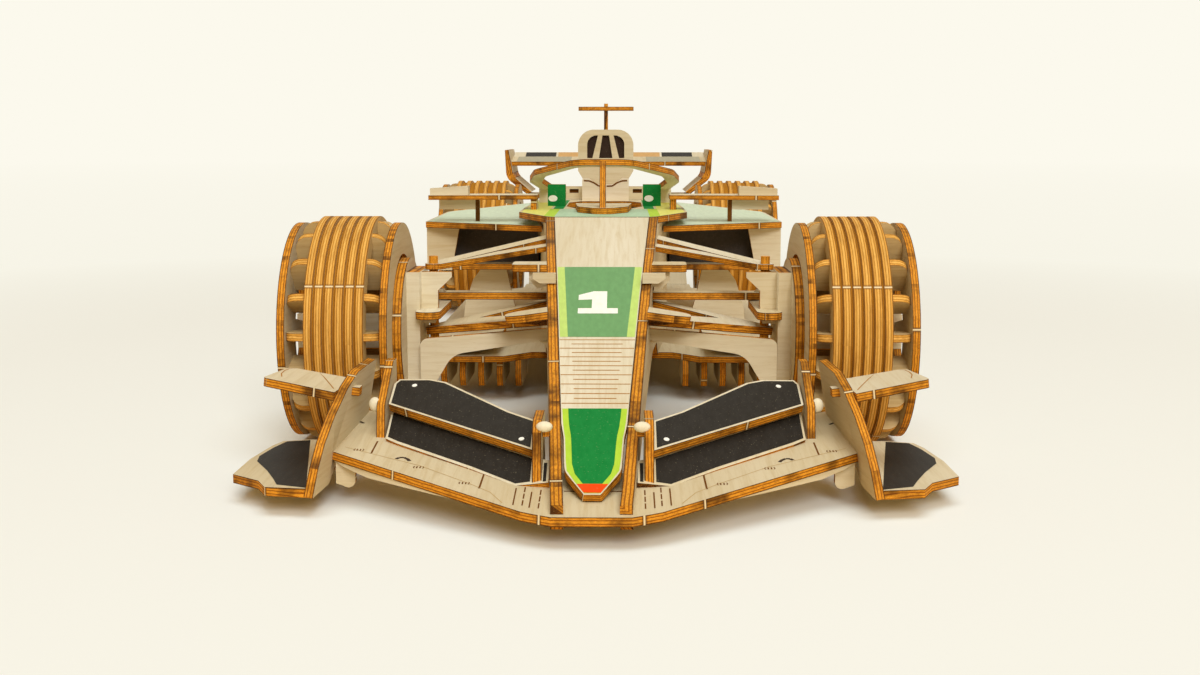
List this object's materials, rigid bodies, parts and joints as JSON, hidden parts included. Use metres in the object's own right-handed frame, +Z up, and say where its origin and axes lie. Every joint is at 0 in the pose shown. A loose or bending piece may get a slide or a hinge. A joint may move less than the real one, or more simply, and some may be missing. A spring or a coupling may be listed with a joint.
{
  "type": "plywood puzzle model open wheel racing car",
  "caption": "Slot-together plywood model of a halo-era open wheel racing car with turning wheels, linked front steering, wings, sidepods and an open cockpit.",
  "frame": {"origin": "on the floor, at the centre of the car's bounding box", "axes": "+Z up, the front of the car faces -Y, its left side is +X"},
  "size_m": [0.1612, 0.4446, 0.0932],
  "materials": {
    "birch_ply": "bare three-layer plywood, pale face veneer and laser-charred amber edges",
    "charred_ply": "bare plywood, laser-charred amber and brown edges",
    "black_printed_ply": "plywood with a satin black print and a bare border",
    "green_printed_ply": "plywood with a satin green print",
    "dowel": "bare round hardwood dowel"
  },
  "bodies": {
    "chassis": {"beam_wing": "birch_ply", "camera": "birch_ply", "cockpit_deck": "birch_ply", "dash_cowl": "birch_ply", "diffuser": "birch_ply", "diffuser_fences": "birch_ply", "engine_cover": "birch_ply", "engine_fin": "birch_ply", "floor": "birch_ply", "floor_fences": "birch_ply", "floor_lips": "birch_ply", "front_axle_boards": "birch_ply", "front_lower_wishbones": "birch_ply", "front_upper_wishbones": "birch_ply", "front_wing": "birch_ply", "front_wing_canards": "birch_ply", "front_wing_endplates": "birch_ply", "front_wing_fences": "birch_ply", "front_wing_footplates": "black_printed_ply", "front_wing_lower_flaps": "black_printed_ply", "front_wing_posts": "birch_ply", "front_wing_skirts": "birch_ply", "front_wing_upper_flaps": "black_printed_ply", "halo": "birch_ply", "halo_pillar": "birch_ply", "head_guards": "green_printed_ply", "mirror_housings": "birch_ply", "mirror_wings": "birch_ply", "nose_top": "birch_ply", "plank": "birch_ply", "rear_axle_boards": "birch_ply", "rear_wing_endplates": "birch_ply", "rear_wing_flap": "birch_ply", "rear_wing_pillar": "birch_ply", "rear_wing_plane": "birch_ply", "rear_wishbones": "birch_ply", "roll_hoop": "birch_ply", "seat": "birch_ply", "sidepod_bases": "birch_ply", "sidepod_radiators": "black_printed_ply", "sidepod_tops": "birch_ply", "sidepod_undercuts": "birch_ply", "sidepod_walls": "birch_ply", "suspension_brackets": "birch_ply", "tub_bulkheads": "birch_ply", "tub_sides": "birch_ply"},
    "knuckle_left": {"knuckle_left": "birch_ply"},
    "knuckle_right": {"knuckle_right": "birch_ply"},
    "track_rod": {"track_rod": "birch_ply"},
    "front_wheel_left": {"front_tyre_left": "charred_ply", "front_rim_left": "birch_ply"},
    "front_wheel_right": {"front_tyre_right": "charred_ply", "front_rim_right": "birch_ply"},
    "rear_wheels": {"rear_axle": "dowel", "rear_tyre_left": "charred_ply", "rear_tyre_right": "charred_ply", "rear_rim_left": "birch_ply", "rear_rim_right": "birch_ply"}
  },
  "joints": [
    {"name": "steer_left", "type": "hinge", "parent": "chassis", "child": "knuckle_left", "pos_m": [0.044, -0.118, 0.03], "axis": [0, 0, 1], "range_deg": [-12, 12]},
    {"name": "steer_right", "type": "hinge", "parent": "chassis", "child": "knuckle_right", "pos_m": [-0.044, -0.118, 0.03], "axis": [0, 0, 1], "range_deg": [-12, 12]},
    {"name": "track_rod_slide", "type": "slide", "parent": "chassis", "child": "track_rod", "axis": [1, 0, 0], "range_m": [-0.0032, 0.0032]},
    {"name": "front_wheel_left_spin", "type": "hinge", "parent": "knuckle_left", "child": "front_wheel_left", "pos_m": [0.06595, -0.118, 0.03], "axis": [1, 0, 0], "continuous": true},
    {"name": "front_wheel_right_spin", "type": "hinge", "parent": "knuckle_right", "child": "front_wheel_right", "pos_m": [-0.06595, -0.118, 0.03], "axis": [1, 0, 0], "continuous": true},
    {"name": "rear_wheels_spin", "type": "hinge", "parent": "chassis", "child": "rear_wheels", "pos_m": [0, 0.172, 0.03], "axis": [1, 0, 0], "continuous": true}
  ],
  "couplings": [
    {"joint": "steer_right", "follows": "steer_left", "ratio": 1},
    {"joint": "track_rod_slide", "follows": "steer_left", "m_per_rad": -0.015}
  ]
}
